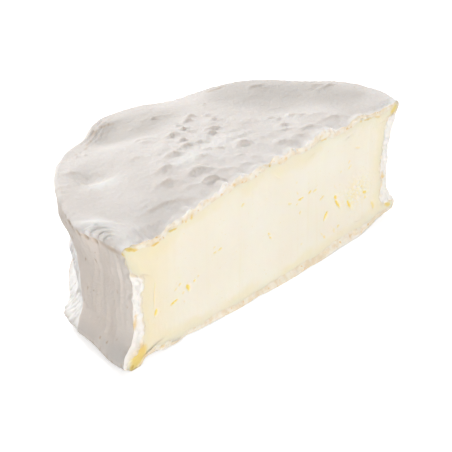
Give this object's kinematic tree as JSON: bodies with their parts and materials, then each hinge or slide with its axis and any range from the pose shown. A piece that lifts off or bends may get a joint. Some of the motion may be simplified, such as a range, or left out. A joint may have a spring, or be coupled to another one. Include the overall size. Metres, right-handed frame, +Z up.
{
  "type": "half wheel of soft cheese",
  "caption": "Half of a white-rinded soft cheese wheel, cut straight through, with a domed top, a drawn-in wall and a pale yellow cut face.",
  "frame": {"origin": "middle of the bottom of the bounding box, on the underside's resting plane", "axes": "+Z up, +X along the cut, +Y away from the cut face towards the round wall"},
  "size_m": [0.1274, 0.063, 0.0436],
  "materials": {
    "rind": "velvety, slightly wrinkled",
    "paste": "smooth, moist, a little translucent"
  },
  "bodies": {
    "root": {"cheese_half": "rind"}
  },
  "joints": []
}
